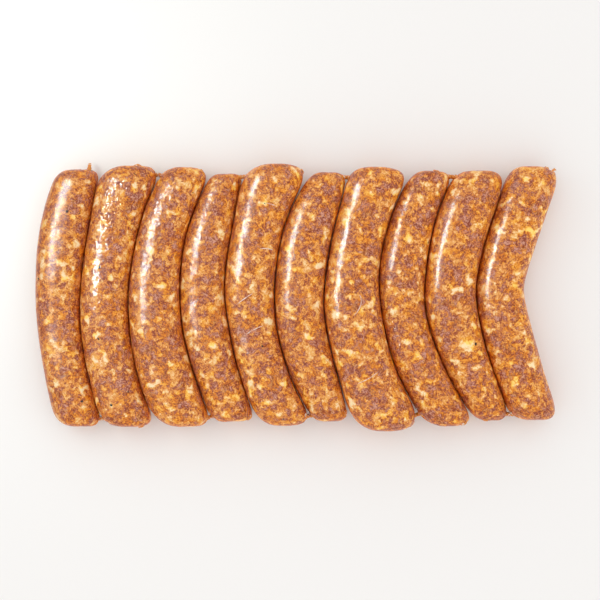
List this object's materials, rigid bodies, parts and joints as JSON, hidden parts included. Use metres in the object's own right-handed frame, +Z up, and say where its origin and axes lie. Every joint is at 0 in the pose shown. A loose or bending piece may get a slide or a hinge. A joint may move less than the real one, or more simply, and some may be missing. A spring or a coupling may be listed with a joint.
{
  "type": "string of sausage links",
  "caption": "String of plump raw sausage links in glossy casing, folded back and forth so that the links lie side by side, with short twists of casing between them.",
  "frame": {"origin": "middle of the bounding box in X and Y, on the surface that the links lie on", "axes": "+X along the row of links, +Y along the links towards the end with the loose tails, +Z up"},
  "size_m": [0.3514, 0.1808, 0.0353],
  "materials": {
    "link_skin": "wet, glossy, see-through casing over coarse reddish-brown meat with cream and orange fat",
    "casing": "wet twisted casing, pale and a little see-through"
  },
  "bodies": {
    "root": {"link_1": "link_skin", "link_2": "link_skin", "link_3": "link_skin", "link_4": "link_skin", "link_5": "link_skin", "link_6": "link_skin", "link_7": "link_skin", "link_8": "link_skin", "link_9": "link_skin", "link_10": "link_skin", "twist_1_2": "casing", "twist_2_3": "casing", "twist_3_4": "casing", "twist_4_5": "casing", "twist_5_6": "casing", "twist_6_7": "casing", "twist_7_8": "casing", "twist_8_9": "casing", "twist_9_10": "casing", "tail_first": "casing", "tail_last": "casing"}
  },
  "joints": []
}
